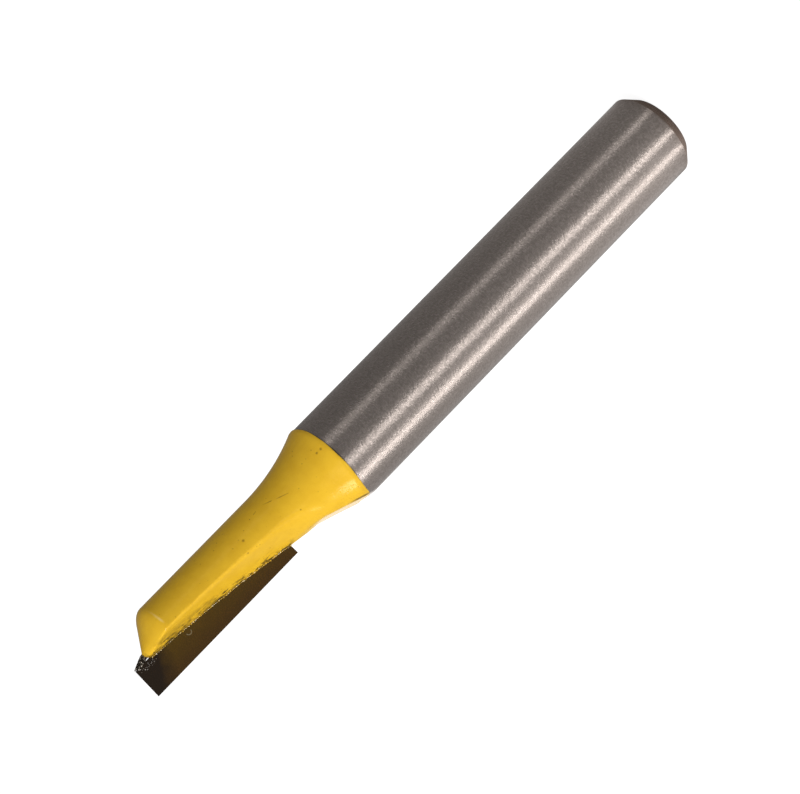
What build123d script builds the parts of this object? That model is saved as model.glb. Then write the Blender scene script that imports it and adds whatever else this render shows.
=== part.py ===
"""A single-flute straight router bit with a 1/4 in shank and a blade brazed into its painted cutter body.

Millimetres. The origin is the centre of the shank's end face, and +Z runs along the axis to the cutter's tip.
The rake face looks towards -Y and the cutting edge lies on the -X side, so the bit cuts right-handed.
"""
from build123d import *
from math import cos, radians, sin, sqrt, tan
import os

# Ground shank
shank_diameter = 6.35
shank_length = 32.77
shank_chamfer_length = 0.8
shank_chamfer_depth = 0.73

# Turned neck, cutter body and nose
shoulder_to_heel = 5.23
neck_blend_radius = 14.4
body_diameter = 4.34
nose_setback = 1.1
nose_face_angle = 37.2
nose_corner_radius = 0.4

# Blade
cutting_diameter = 4.78
blade_length = 12.8
blade_thickness = 1.3
blade_inner_offset = 0.3
side_relief_angle = 18
end_relief_angle = 20
end_dish_angle = 3.5

# Slot that holds the blade
braze_gap = 0.04
slot_cutter_radius = 2.4

# Gullet in front of the rake face: how far its wall's foot stands off the axis, and the wall's bow and lean
gullet_root_at_tip = 0.27
gullet_root_at_runout = 2.1
gullet_wheel_radius = 130
gullet_lean_angle = 25.5
gullet_past_heel = 2.5
gullet_runout_angle = 30
gullet_runout_blend = 2.0

# Clearance flat on the blade's side, with a ramp that rises towards the shoulder
clearance_flat_offset = 1.98
clearance_past_heel = 2.5
clearance_ramp_angle = 18.1

# Paint
coat_thickness = 0.05
coat_past_shoulder = 0.19

# Lump of braze between the nose and the blade's inner side
lump_setback = 0.05
lump_height = 1.9
lump_reach = 0.26
lump_crown_radius = 6
lump_front = 0.12
lump_depth = 0.3

shank_radius = shank_diameter / 2
body_radius = body_diameter / 2
cutting_radius = cutting_diameter / 2
blade_heel_height = shank_length + shoulder_to_heel
overall_length = blade_heel_height + blade_length
nose_apex_height = overall_length - nose_setback
gullet_runout_height = blade_heel_height - gullet_past_heel
clearance_ramp_height = blade_heel_height - clearance_past_heel
coat_start_height = shank_length - coat_past_shoulder
# A cut drawn out to these leaves nothing standing outside it
clear_radius = shank_radius + cutting_radius
clear_height = overall_length + cutting_radius

slot_inner = blade_inner_offset - braze_gap
slot_back = blade_thickness + braze_gap
slot_width = blade_thickness + 2 * braze_gap


def turned_outline(coat):
    """Half section of the turned bar from its end face to the nose, grown outwards by a coat."""
    blend_centre_radius = body_radius + neck_blend_radius
    body_start = shank_length + sqrt(neck_blend_radius**2 - (blend_centre_radius - shank_radius) ** 2)
    blend_radius = neck_blend_radius - coat
    shoulder_radius = shank_radius + coat
    shoulder = body_start - sqrt(blend_radius**2 - (blend_centre_radius - shoulder_radius) ** 2)
    nose_radius = body_radius + coat
    nose_slope = tan(radians(nose_face_angle))
    apex = nose_apex_height + coat / cos(radians(nose_face_angle))
    nose_base = (nose_radius, apex - nose_radius * nose_slope)
    with BuildSketch(Plane.XZ) as outline:
        with BuildLine():
            Polyline(
                (0, 0),
                (shoulder_radius - shank_chamfer_depth, 0),
                (shoulder_radius, shank_chamfer_length),
                (shoulder_radius, shoulder),
            )
            RadiusArc((shoulder_radius, shoulder), (nose_radius, body_start), blend_radius)
            Polyline((nose_radius, body_start), nose_base, (0, apex), (0, 0))
        make_face()
        nose_corner = outline.vertices().sort_by_distance(nose_base)[0]
        fillet(nose_corner, radius=nose_corner_radius + coat)
    return outline.sketch


def gullet_outline(coat):
    """What the gullet takes at the rake face's level: its bowed wall and run-out, held off by a coat."""
    wall_top = (-gullet_root_at_tip, overall_length)
    runout_start = (-gullet_root_at_runout, gullet_runout_height)
    runout_fall = (clear_radius - gullet_root_at_runout) / tan(radians(gullet_runout_angle))
    with BuildSketch(Plane.XZ) as outline:
        with BuildLine():
            RadiusArc(wall_top, runout_start, gullet_wheel_radius)
            Polyline(
                runout_start,
                (-clear_radius, gullet_runout_height - runout_fall),
                (-clear_radius, clear_height),
                (-gullet_root_at_tip, clear_height),
                wall_top,
            )
        make_face()
        fillet(outline.vertices().sort_by_distance(runout_start)[0], radius=gullet_runout_blend)
        if coat:
            coat_across_lean = coat / cos(radians(gullet_lean_angle))
            offset(amount=-coat_across_lean, kind=Kind.INTERSECTION, mode=Mode.REPLACE)
    return outline.sketch


def clearance_outline(coat):
    """What the clearance flat and its ramp take, seen along Y and held off by a coat."""
    ramp_fall = (clear_radius - clearance_flat_offset) / tan(radians(clearance_ramp_angle))
    with BuildSketch(Plane.XZ) as outline:
        with BuildLine():
            Polyline(
                (-clearance_flat_offset, clear_height),
                (-clearance_flat_offset, clearance_ramp_height),
                (-clear_radius, clearance_ramp_height - ramp_fall),
                (-clear_radius, clear_height),
                close=True,
            )
        make_face()
        if coat:
            offset(amount=-coat, kind=Kind.INTERSECTION, mode=Mode.REPLACE)
    return outline.sketch


def seat_outline():
    """The blade's seat seen along Y, open towards the tip and the cutting edge."""
    with BuildSketch(Plane.XZ.offset(-slot_back)) as outline:
        with BuildLine():
            Polyline(
                (-slot_inner, blade_heel_height),
                (-slot_inner, clear_height),
                (-clear_radius, clear_height),
                (-clear_radius, blade_heel_height),
                close=True,
            )
        make_face()
    return outline.sketch


def slot_runout_outline(coat):
    """The round run-out that the slot's cutter leaves below the seat, held off by a coat."""
    runout_end = (-slot_inner - slot_cutter_radius, blade_heel_height - slot_cutter_radius)
    with BuildSketch(Plane.XZ.offset(coat - slot_back)) as outline:
        with BuildLine():
            Polyline(
                runout_end,
                (-clear_radius, runout_end[1]),
                (-clear_radius, clear_height),
                (-slot_inner, clear_height),
                (-slot_inner, blade_heel_height),
            )
            RadiusArc((-slot_inner, blade_heel_height), runout_end, slot_cutter_radius)
        make_face()
        if coat:
            offset(amount=-coat, kind=Kind.INTERSECTION, mode=Mode.REPLACE)
    return outline.sketch


def cut_gullet(coat):
    """Cuts the gullet in front of the rake face, with a wall that leans open towards the front."""
    lean = radians(gullet_lean_angle)
    depth = clear_radius / cos(lean)
    extrude(gullet_outline(coat), amount=depth, dir=(sin(lean), -cos(lean), 0), mode=Mode.SUBTRACT)


def cut_clearance(coat):
    """Cuts the clearance flat across the whole neck."""
    extrude(clearance_outline(coat), amount=clear_radius, both=True, mode=Mode.SUBTRACT)


def cut_slot(coat):
    """Cuts the seat, wider than the blade by a braze gap at each face, and the run-out below it.

    The run-out's front side stays bare, so that it opens into the gullet.
    """
    extrude(seat_outline(), amount=slot_width, mode=Mode.SUBTRACT)
    extrude(slot_runout_outline(coat), amount=slot_width - coat, mode=Mode.SUBTRACT)


def end_relief_plane(setback):
    """The blade's end face: dished towards the axis, relieved towards the back, lowered by a setback."""
    dish = radians(end_dish_angle)
    relief = radians(end_relief_angle)
    edge = Vector(cos(dish), 0, -sin(dish))
    back = Vector(0, cos(relief), -sin(relief))
    outer_corner = Vector(-cutting_radius, 0, overall_length - setback)
    return Plane(origin=outer_corner, x_dir=edge, z_dir=edge.cross(back))


# Steel bar, turned and milled
with BuildPart() as steel_body:
    revolve(turned_outline(coat=0), axis=Axis.Z)
    cut_gullet(coat=0)
    cut_clearance(coat=0)
    cut_slot(coat=0)
steel_body.part.label = "steel_body"

# Blade, ground with side and end relief behind its edges
with BuildPart() as carbide_blade:
    with BuildSketch(Plane.XY.offset(blade_heel_height)):
        with BuildLine():
            Polyline(
                (-cutting_radius, 0),
                (-blade_inner_offset, 0),
                (-blade_inner_offset, blade_thickness),
                (-cutting_radius + blade_thickness * tan(radians(side_relief_angle)), blade_thickness),
                close=True,
            )
        make_face()
    extrude(amount=blade_length)
    split(bisect_by=end_relief_plane(setback=0), keep=Keep.BOTTOM)
carbide_blade.part.label = "carbide_blade"

# Paint over the neck, body and nose, open where the blade is
with BuildPart() as paint_coat:
    revolve(turned_outline(coat=coat_thickness), axis=Axis.Z)
    split(bisect_by=Plane.XY.offset(coat_start_height), keep=Keep.TOP)
    cut_gullet(coat=coat_thickness)
    cut_clearance(coat=coat_thickness)
    cut_slot(coat=coat_thickness)
    add(steel_body.part, mode=Mode.SUBTRACT)
paint_coat.part.label = "paint_coat"

# Braze: a film round the seated blade and a lump at the nose
with BuildPart() as braze_joint:
    revolve(turned_outline(coat=0), axis=Axis.Z)
    cut_gullet(coat=coat_thickness)
    extrude(seat_outline(), amount=slot_width, mode=Mode.INTERSECT)
    dish_drop = (cutting_radius - blade_inner_offset) * tan(radians(end_dish_angle))
    lump_top = (-blade_inner_offset, overall_length - dish_drop - lump_setback)
    lump_edge = (lump_reach, nose_apex_height - lump_reach * tan(radians(nose_face_angle)))
    with BuildSketch(Plane.XZ.offset(-lump_depth)):
        with BuildLine():
            RadiusArc(lump_top, lump_edge, lump_crown_radius)
            Polyline(lump_edge, (-blade_inner_offset, lump_top[1] - lump_height), lump_top)
        make_face()
    extrude(amount=lump_depth + lump_front)
    split(bisect_by=end_relief_plane(setback=lump_setback), keep=Keep.BOTTOM)
    add(steel_body.part, mode=Mode.SUBTRACT)
    add(paint_coat.part, mode=Mode.SUBTRACT)
    add(carbide_blade.part, mode=Mode.SUBTRACT)
braze_joint.part.label = "braze_joint"

os.makedirs("parts", exist_ok=True)
for piece in (steel_body, carbide_blade, braze_joint, paint_coat):
    export_step(piece.part, f"parts/{piece.part.label}.step")
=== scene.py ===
"""Studio scene of a small straight router bit: ground shank, enamelled neck and body, brazed carbide blade.

Pieces are shaped in millimetres and scaled to metres when their meshes are finished. +Z runs along the axis
from the shank's end to the cutter's tip, the rake face looks towards -Y and the cutting edge lies on the -X
side.
"""
import logging
import math
from dataclasses import dataclass
from enum import Enum
from typing import Any, Sequence

import bmesh
import bpy
import numpy as np
from mathutils import Matrix, Vector


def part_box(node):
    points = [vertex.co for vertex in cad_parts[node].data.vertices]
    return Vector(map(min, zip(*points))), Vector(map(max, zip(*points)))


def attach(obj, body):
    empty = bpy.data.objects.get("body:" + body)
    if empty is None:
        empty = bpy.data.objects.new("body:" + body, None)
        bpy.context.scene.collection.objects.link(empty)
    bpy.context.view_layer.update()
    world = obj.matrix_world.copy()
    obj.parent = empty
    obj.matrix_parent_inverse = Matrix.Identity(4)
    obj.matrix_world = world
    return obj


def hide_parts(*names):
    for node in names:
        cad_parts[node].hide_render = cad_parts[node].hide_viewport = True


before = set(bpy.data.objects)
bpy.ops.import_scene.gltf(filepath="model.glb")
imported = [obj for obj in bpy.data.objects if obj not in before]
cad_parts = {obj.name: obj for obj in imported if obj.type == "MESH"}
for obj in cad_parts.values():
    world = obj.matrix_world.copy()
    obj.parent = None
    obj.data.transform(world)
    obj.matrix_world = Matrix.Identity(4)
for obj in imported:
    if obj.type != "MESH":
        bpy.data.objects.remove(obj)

logging.basicConfig(level=logging.INFO, format="%(message)s")
log = logging.getLogger("router_bit")

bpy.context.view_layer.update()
MM = 0.001
BODY = "root"

Colour = tuple[float, float, float]
Place = tuple[float, float, float]


class Slot(Enum):
    """Names of the material slots in the record; the pieces here don't use them."""

    SHANK = "shank_steel"
    BLADE = "blade_carbide"
    BRAZE = "braze"
    PAINT = "body_paint"


class Node(Enum):
    """CAD nodes that the pieces stand for."""

    BAR = "steel_body"
    BLADE = "carbide_blade"
    BRAZE = "braze_joint"
    COAT = "paint_coat"


class Combine(Enum):
    """Ways in which one solid works on another."""

    CUT = "DIFFERENCE"
    OVERLAP = "INTERSECT"


class Ray(Enum):
    """Kinds of ray that see the studio differently."""

    CAMERA = "Is Camera Ray"
    SHINY = "Is Glossy Ray"
    CLEAR = "Is Transmission Ray"


def node_box(node: Node) -> tuple[np.ndarray, np.ndarray]:
    """A CAD node's box in millimetres.

    Args:
        node: the CAD node.

    Returns:
        Its lowest and highest corners.
    """
    low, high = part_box(node.value)
    return np.array(low) / MM, np.array(high) / MM


class Value:
    """A node's output that takes part in Python sums, which add Math nodes to its tree."""

    def __init__(self, tree: "Tree", socket: bpy.types.NodeSocket | None) -> None:
        """Wraps one output socket of a tree."""
        self.tree = tree
        self.socket = socket

    def __add__(self, other: Any) -> "Value":
        """Sum."""
        return self.tree.maths("ADD", self, other)

    def __radd__(self, other: Any) -> "Value":
        """Sum with a number on the left."""
        return self.tree.maths("ADD", other, self)

    def __sub__(self, other: Any) -> "Value":
        """Difference."""
        return self.tree.maths("SUBTRACT", self, other)

    def __rsub__(self, other: Any) -> "Value":
        """Difference with a number on the left."""
        return self.tree.maths("SUBTRACT", other, self)

    def __mul__(self, other: Any) -> "Value":
        """Product."""
        return self.tree.maths("MULTIPLY", self, other)

    def __rmul__(self, other: Any) -> "Value":
        """Product with a number on the left."""
        return self.tree.maths("MULTIPLY", other, self)

    def __truediv__(self, other: Any) -> "Value":
        """Quotient."""
        return self.tree.maths("DIVIDE", self, other)

    def __rtruediv__(self, other: Any) -> "Value":
        """Quotient with a number on the left."""
        return self.tree.maths("DIVIDE", other, self)

    def __abs__(self) -> "Value":
        """Size without its sign."""
        return self.tree.maths("ABSOLUTE", self)

    def clamped(self) -> "Value":
        """This value held between 0 and 1."""
        return self.tree.add("ShaderNodeClamp", {}, self)


class Tree:
    """Builds a node tree with short calls."""

    def __init__(self, tree: bpy.types.NodeTree) -> None:
        """Empties a tree and takes it over."""
        self.tree = tree
        self.tree.nodes.clear()

    def add(
        self, kind: str, settings: dict[str, Any], *inputs: Any, out: int | str = 0, **named: Any
    ) -> Value:
        """Adds a node.

        Args:
            kind: the node's type.
            settings: its properties, set before its sockets; "stops" fills a colour ramp.
            inputs: values or links of its first sockets, in order; None leaves a socket as it is.
            out: the output socket that is returned.
            named: values or links of sockets by name, with underscores for spaces.

        Returns:
            The output as a value.
        """
        node = self.tree.nodes.new(kind)
        for key, setting in settings.items():
            if key == "stops":
                self._fill_ramp(node.color_ramp, setting)
            else:
                setattr(node, key, setting)
        for socket, given in zip(node.inputs, inputs):
            self._feed(socket, given)
        for name, given in named.items():
            label = name.replace("_", " ")
            self._feed(next(item for item in node.inputs if item.name == label and item.enabled), given)
        return Value(self, node.outputs[out] if node.outputs else None)

    def _feed(self, socket: bpy.types.NodeSocket, given: Any) -> None:
        """Links a value to a socket, or sets the socket to a constant.

        Args:
            socket: the input socket.
            given: a value, a constant, or None to leave the socket as it is.
        """
        if isinstance(given, Value):
            self.tree.links.new(given.socket, socket)
        elif given is not None:
            pad_alpha = socket.type == "RGBA" and len(given) == 3
            socket.default_value = (*given, 1.0) if pad_alpha else given

    @staticmethod
    def _fill_ramp(ramp: bpy.types.ColorRamp, stops: Sequence[tuple[float, float]]) -> None:
        """Sets a ramp's stops.

        Args:
            ramp: the ramp.
            stops: a place and a grey level for each stop.
        """
        while len(ramp.elements) < len(stops):
            ramp.elements.new(0.5)
        for element, (place, level) in zip(ramp.elements, stops):
            element.position = place
            element.color = (level, level, level, 1.0)

    def maths(self, operation: str, *inputs: Any) -> Value:
        """The result of one Math node."""
        return self.add("ShaderNodeMath", {"operation": operation}, *inputs)

    def outputs(self, value: Value) -> list[Value]:
        """All outputs of the node that a value comes from."""
        return [Value(self, socket) for socket in value.socket.node.outputs]

    def joined(self, *parts: Value) -> Value:
        """Several geometries as one.

        Args:
            parts: the geometries.

        Returns:
            The joined geometry.
        """
        join = self.add("GeometryNodeJoinGeometry", {})
        for part in parts:
            self._feed(join.socket.node.inputs[0], part)
        return join


class Shader(Tree):
    """Builds the node tree of a material or of the world."""

    def __init__(self, owner: bpy.types.Material | bpy.types.World) -> None:
        """Starts an empty tree on a material or a world."""
        owner.use_nodes = True
        super().__init__(owner.node_tree)

    def object_point(self) -> Value:
        """The shaded point in object coordinates."""
        return self.add("ShaderNodeTexCoord", {}, out="Object")

    def ray(self, kind: Ray) -> Value:
        """1 for rays of a kind, else 0."""
        return self.add("ShaderNodeLightPath", {}, out=kind.value)

    def parts(self, point: Value) -> tuple[Value, Value, Value]:
        """A point's x, y and z in millimetres."""
        x, y, z = self.outputs(self.add("ShaderNodeSeparateXYZ", {}, point))
        return x / MM, y / MM, z / MM

    def stretched(self, point: Value, scale: Sequence[float]) -> Value:
        """A point scaled by its own amount along each axis."""
        return self.add("ShaderNodeMapping", {}, point, Scale=scale)

    def noise(self, point: Value, scale: float, detail: float, roughness: float) -> Value:
        """Noise from about 0.3 to 0.7, with features of 1 / scale metres."""
        return self.add("ShaderNodeTexNoise", {}, point, None, scale, detail, roughness)

    def cells(self, point: Value, scale: float) -> Value:
        """Distance to the nearest of many scattered points, in units of their spacing."""
        return self.add("ShaderNodeTexVoronoi", {}, point, Scale=scale)

    def ramp(self, value: Value, *stops: tuple[float, float]) -> Value:
        """A value passed through grey stops."""
        return self.add("ShaderNodeValToRGB", {"stops": stops}, value)

    def near(self, distance: Value, reach: float, soft: float) -> Value:
        """1 within a reach, falling to 0 over a soft edge."""
        return ((reach + soft - distance) / soft).clamped()

    def past(self, distance: Value, reach: float, soft: float) -> Value:
        """0 within a reach, rising to 1 over a soft edge."""
        return ((distance - reach) / soft).clamped()

    def gap(self, first: Any, second: Any) -> Value:
        """Distance between two points, in millimetres."""
        return self.add("ShaderNodeVectorMath", {"operation": "DISTANCE"}, first, second, out="Value") / MM

    def distance(self, point: Value, place: Sequence[float]) -> Value:
        """Distance from a point to a place given in millimetres, in millimetres."""
        return self.gap(point, tuple(number * MM for number in place))

    def off_line(self, point: Value, start: Place, end: Place) -> Value:
        """Distance from a point to a straight stroke, in millimetres.

        Args:
            point: the shaded point.
            start: the stroke's start in millimetres.
            end: the stroke's end in millimetres.

        Returns:
            The distance.
        """
        first, last = Vector(start) * MM, Vector(end) * MM
        stroke = last - first
        along = tuple(stroke)
        offset = self.add("ShaderNodeVectorMath", {"operation": "SUBTRACT"}, point, tuple(first))
        share = self.add("ShaderNodeVectorMath", {"operation": "DOT_PRODUCT"}, offset, along, out="Value")
        share = (share / stroke.length_squared).clamped()
        nearest = self.add("ShaderNodeVectorMath", {"operation": "SCALE"}, along, Scale=share)
        return self.gap(offset, nearest)

    def mixed(self, amount: Value, first: Any, second: Any) -> Value:
        """A colour between two colours.

        Args:
            amount: 0 for the first colour, 1 for the second.
            first: the first colour.
            second: the second colour.

        Returns:
            The mixed colour.
        """
        return self.add("ShaderNodeMix", {"data_type": "RGBA"}, amount, A=first, B=second, out=2)

    def bump(self, height: Value, distance: float, strength: float = 1.0) -> Value:
        """A normal bent by a height, where a height of 1 stands out by a distance in metres."""
        return self.add("ShaderNodeBump", {}, Strength=strength, Distance=distance, Height=height)

    def principled(self, **sockets: Any) -> None:
        """Ends a material's tree in a Principled BSDF with the sockets given by name."""
        self.surface(self.add("ShaderNodeBsdfPrincipled", {}, **sockets))

    def surface(self, closure: Value) -> None:
        """Ends a material's tree in a surface."""
        self.add("ShaderNodeOutputMaterial", {}, closure)


def soft_min(first: np.ndarray, second: np.ndarray, blend: float) -> np.ndarray:
    """The smaller of two distances, rounded off where they meet.

    Args:
        first: the first distance.
        second: the second distance.
        blend: how near the two are where the rounding starts.

    Returns:
        The rounded smaller distance.
    """
    share = np.maximum(blend - np.abs(first - second), 0.0) / blend
    return np.minimum(first, second) - share**2 * blend / 4


def soft_max(first: np.ndarray, second: np.ndarray, blend: float) -> np.ndarray:
    """The larger of two distances, filled out where they meet."""
    return -soft_min(-first, -second, blend)


def linked_object(name: str, mesh: bpy.types.Mesh) -> bpy.types.Object:
    """An object in the scene for a mesh.

    Args:
        name: the object's name.
        mesh: its mesh.

    Returns:
        The object.
    """
    thing = bpy.data.objects.new(name, mesh)
    bpy.context.scene.collection.objects.link(thing)
    return thing


def mesh_object(
    name: str, points: np.ndarray, faces: Sequence[Sequence[int]], edges: Sequence[tuple[int, int]] = ()
) -> bpy.types.Object:
    """A mesh object in the scene from points in millimetres.

    Args:
        name: the object's name.
        points: its vertices, one per row.
        faces: vertex numbers of each face.
        edges: vertex numbers of each loose edge.

    Returns:
        The object, still in millimetres.
    """
    mesh = bpy.data.meshes.new(name)
    mesh.from_pydata([tuple(point) for point in points], edges, faces)
    mesh.validate()
    return linked_object(name, mesh)


def ring_solid(name: str, rings: np.ndarray) -> bpy.types.Object:
    """A closed solid from rings of points.

    Args:
        name: the object's name.
        rings: rings from bottom to top, each counterclockwise seen from above.

    Returns:
        The solid, closed by a fan to the middle of its first and last rings.
    """
    count, around, _ = rings.shape
    points = np.vstack([rings.reshape(-1, 3), rings[0].mean(axis=0), rings[-1].mean(axis=0)])
    low_pole, high_pole = count * around, count * around + 1
    top = (count - 1) * around
    sides = [(step, (step + 1) % around) for step in range(around)]
    faces = []
    for here in range(0, top, around):
        there = here + around
        faces += [(here + step, here + after, there + after, there + step) for step, after in sides]
    for step, after in sides:
        faces += [(low_pole, after, step), (high_pole, top + step, top + after)]
    return mesh_object(name, points, faces)


def prism(name: str, outline: Sequence[tuple[float, float]], front: float, back: float) -> bpy.types.Object:
    """A solid with an outline in XZ, drawn out along Y.

    Args:
        name: the object's name.
        outline: its corners as (x, z), in either sense.
        front: its lowest y.
        back: its highest y.

    Returns:
        The closed prism.
    """
    count = len(outline)
    points = [(x, y, z) for y in (front, back) for x, z in outline]
    faces = [tuple(range(count)), tuple(reversed(range(count, 2 * count)))]
    for step in range(count):
        after = (step + 1) % count
        faces.append((step, count + step, count + after, after))
    thing = mesh_object(name, np.array(points), faces)
    face_outwards(thing)
    return thing


def face_outwards(thing: bpy.types.Object) -> None:
    """Turns all of a closed mesh's faces outwards.

    Args:
        thing: the mesh's object.
    """
    shape = bmesh.new()
    shape.from_mesh(thing.data)
    bmesh.ops.recalc_face_normals(shape, faces=shape.faces)
    shape.to_mesh(thing.data)
    shape.free()


def baked(thing: bpy.types.Object) -> None:
    """Turns an object's modifiers into a plain mesh.

    Args:
        thing: the object.
    """
    graph = bpy.context.evaluated_depsgraph_get()
    mesh = bpy.data.meshes.new_from_object(thing.evaluated_get(graph))
    thing.modifiers.clear()
    thing.data = mesh


def combined(thing: bpy.types.Object, tool: bpy.types.Object, way: Combine) -> None:
    """Works on a solid with another, which is used up.

    Args:
        thing: the solid that changes.
        tool: the solid that works on it.
        way: what the tool does to it.
    """
    cut = thing.modifiers.new("combine", "BOOLEAN")
    cut.operation = way.value
    cut.solver = "EXACT"
    cut.object = tool
    baked(thing)
    bpy.data.objects.remove(tool)


def dress(
    thing: bpy.types.Object, material: bpy.types.Material, node: Node, crease: float = 32.0
) -> None:
    """Finishes a piece: metres, shading, material, and its place in the frame.

    Args:
        thing: the piece, in millimetres.
        material: what it is made of.
        node: the CAD node it stands for.
        crease: the angle in degrees above which an edge stays sharp.
    """
    thing.data.transform(Matrix.Scale(MM, 4))
    thing.data.shade_smooth()
    thing.data.set_sharp_from_angle(angle=math.radians(crease))
    thing.data.materials.clear()
    thing.data.materials.append(material)
    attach(thing, BODY)
    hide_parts(node.value)


@dataclass(frozen=True)
class Spokes:
    """Spokes from an eye point inside each ring, along which the distances to the ring's walls are found."""

    eye_x: np.ndarray
    eye_y: np.ndarray
    toward_x: np.ndarray
    toward_y: np.ndarray
    far: float = 50.0
    least: float = 1e-3

    def to_circle(self, radius: np.ndarray) -> np.ndarray:
        """Distances to a circle round the axis.

        Args:
            radius: its radius in each ring.

        Returns:
            The distances along the spokes.
        """
        along = self.eye_x * self.toward_x + self.eye_y * self.toward_y
        inside = along**2 + radius**2 - self.eye_x**2 - self.eye_y**2
        return np.sqrt(np.maximum(inside, 0.0)) - along

    def to_wall(self, room: np.ndarray, closing: np.ndarray) -> np.ndarray:
        """Distances to a wall, from the room in front of it and how fast each spoke closes on it."""
        return np.where(closing > self.least, room / np.maximum(closing, self.least), self.far)

    def points(self, reach: np.ndarray, z: np.ndarray) -> np.ndarray:
        """Points that lie at a reach along the spokes.

        Args:
            reach: distances along the spokes.
            z: the points' heights.

        Returns:
            An array of rings of points.
        """
        x = self.eye_x + reach * self.toward_x
        y = self.eye_y + reach * self.toward_y
        return np.stack([x, y, np.broadcast_to(z, x.shape)], axis=-1)


@dataclass(frozen=True)
class BarForm:
    """Form of the turned and milled bar, and of the same bar grown by a coat. Sizes in millimetres.

    The gullet is milled in front of the rake face. Its wall's foot bows outwards from the tip to the heel,
    and the wall leans open, more so towards the heel. The clearance flat lies on the blade's side.
    """

    shank_radius: float
    heel_height: float
    tip_height: float
    shoulder_to_heel: float = 5.23
    body_radius: float = 2.17
    neck_blend: float = 14.4
    shoulder_round: float = 0.04
    nose_setback: float = 1.1
    nose_angle: float = math.radians(37.2)
    nose_round: float = 0.55
    root_at_tip: float = 0.27
    root_at_runout: float = 2.1
    wall_bow: float = 0.00385
    wall_lean: float = math.radians(25.5)
    lean_at_tip: float = 0.232
    lean_growth: float = 0.0255
    lean_at_runout: float = 0.56
    wall_below_heel: float = 0.8
    runout_angle: float = math.radians(30)
    runout_blend: float = 0.7
    below_heel: float = 2.5
    flat_offset: float = 1.98
    flat_blend: float = 0.1
    ramp_angle: float = math.radians(18.1)
    foot_round: float = 0.12
    edge_round: float = 0.3
    edge_round_growth: float = 0.3
    edge_round_least: float = 0.03
    eye_x: float = 0.2
    eye_y: float = 0.65

    @property
    def shank_length(self) -> float:
        """Height of the shoulder, where the neck starts."""
        return self.heel_height - self.shoulder_to_heel

    @property
    def runout_height(self) -> float:
        """Height where the clearance flat starts to run out."""
        return self.heel_height - self.below_heel

    @property
    def apex_height(self) -> float:
        """Height of the nose's apex."""
        return self.tip_height - self.nose_setback

    @property
    def nose_edge_height(self) -> float:
        """Height of the edge between the body and its conical nose."""
        return self.apex_height - self.body_radius * math.tan(self.nose_angle)

    @property
    def root_slope(self) -> float:
        """How fast the gullet wall's foot moves outwards at the tip."""
        span = self.tip_height - self.runout_height
        return (self.root_at_runout - self.root_at_tip) / span - self.wall_bow * span

    def wall_offset(self, below: Any) -> Any:
        """How far the gullet wall's foot stands off the axis, at a depth below the tip."""
        return below * self.root_slope + below * below * self.wall_bow + self.root_at_tip

    def turned_radius(self, z: np.ndarray, coat: np.ndarray) -> np.ndarray:
        """Radius of the turned bar at each height, without its chamfer.

        Args:
            z: heights.
            coat: how far the form is grown.

        Returns:
            The radii.
        """
        centre_radius = self.body_radius + self.neck_blend
        blend_length = math.sqrt(self.neck_blend**2 - (centre_radius - self.shank_radius) ** 2)
        fall = np.clip(self.shank_length + blend_length - z, 0.0, self.neck_blend - 1.0)
        neck = centre_radius - np.sqrt((self.neck_blend - coat) ** 2 - fall**2)
        bar = soft_min(neck, np.full_like(z, self.shank_radius + coat), self.shoulder_round)
        apex = self.apex_height + coat / math.cos(self.nose_angle)
        nose = np.maximum(apex - z, 0.0) / math.tan(self.nose_angle)
        return np.maximum(soft_min(bar, nose, self.nose_round), 0.0)

    def root_offset(self, z: np.ndarray, coat: np.ndarray | float) -> np.ndarray:
        """How far the gullet wall's foot stands off the axis at each height, with its run-out.

        Args:
            z: heights.
            coat: how far the form is grown.

        Returns:
            The offsets towards -X.
        """
        start = self.heel_height - self.wall_below_heel
        runout = self.wall_offset(self.tip_height - start) + (start - z) * math.tan(self.runout_angle)
        wall = self.wall_offset(self.tip_height - z)
        return soft_max(wall, runout, self.runout_blend) + coat / math.cos(self.wall_lean)

    def side_offset(self, z: np.ndarray, coat: np.ndarray) -> np.ndarray:
        """How far the clearance flat and its ramp stand off the axis at each height.

        Args:
            z: heights.
            coat: how far the form is grown.

        Returns:
            The offsets towards -X.
        """
        ramp = self.flat_offset + (self.runout_height - z) * math.tan(self.ramp_angle)
        return soft_max(np.full_like(z, self.flat_offset), ramp, self.flat_blend) + coat

    def edge_rounding(self, z: np.ndarray) -> np.ndarray:
        """How far the gullet wall's outer edge is rounded: more below the heel, hardly at the shoulder.

        Args:
            z: heights.

        Returns:
            The rounding at each height.
        """
        below = np.clip((self.heel_height + 0.9 - z) / 1.8, 0.0, 1.0)
        above_shoulder = np.clip((z - self.shank_length - 1.2) / 2.0, self.edge_round_least, 1.0)
        return (self.edge_round + self.edge_round_growth * below) * above_shoulder

    def spokes(self, radius: np.ndarray, turn: np.ndarray) -> Spokes:
        """Spokes from an eye point away from the gullet, which nears the axis where the bar gets slimmer.

        Args:
            radius: the turned bar's radius in each ring.
            turn: angles round the eye point.

        Returns:
            The spokes.
        """
        eye = np.minimum(1.0, radius / self.body_radius)
        return Spokes(self.eye_x * eye, self.eye_y * eye, np.cos(turn)[None, :], np.sin(turn)[None, :])

    def round_section(self, z: np.ndarray, radius: np.ndarray, turn: np.ndarray) -> np.ndarray:
        """Points of plain round rings, at the same angles round the eye point as the milled ones.

        Args:
            z: heights, one per ring.
            radius: radii, one per ring.
            turn: angles round the ring's eye point, one per point.

        Returns:
            An array of rings of points.
        """
        spokes = self.spokes(radius[:, None], turn)
        return spokes.points(spokes.to_circle(radius[:, None]), z[:, None])

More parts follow.
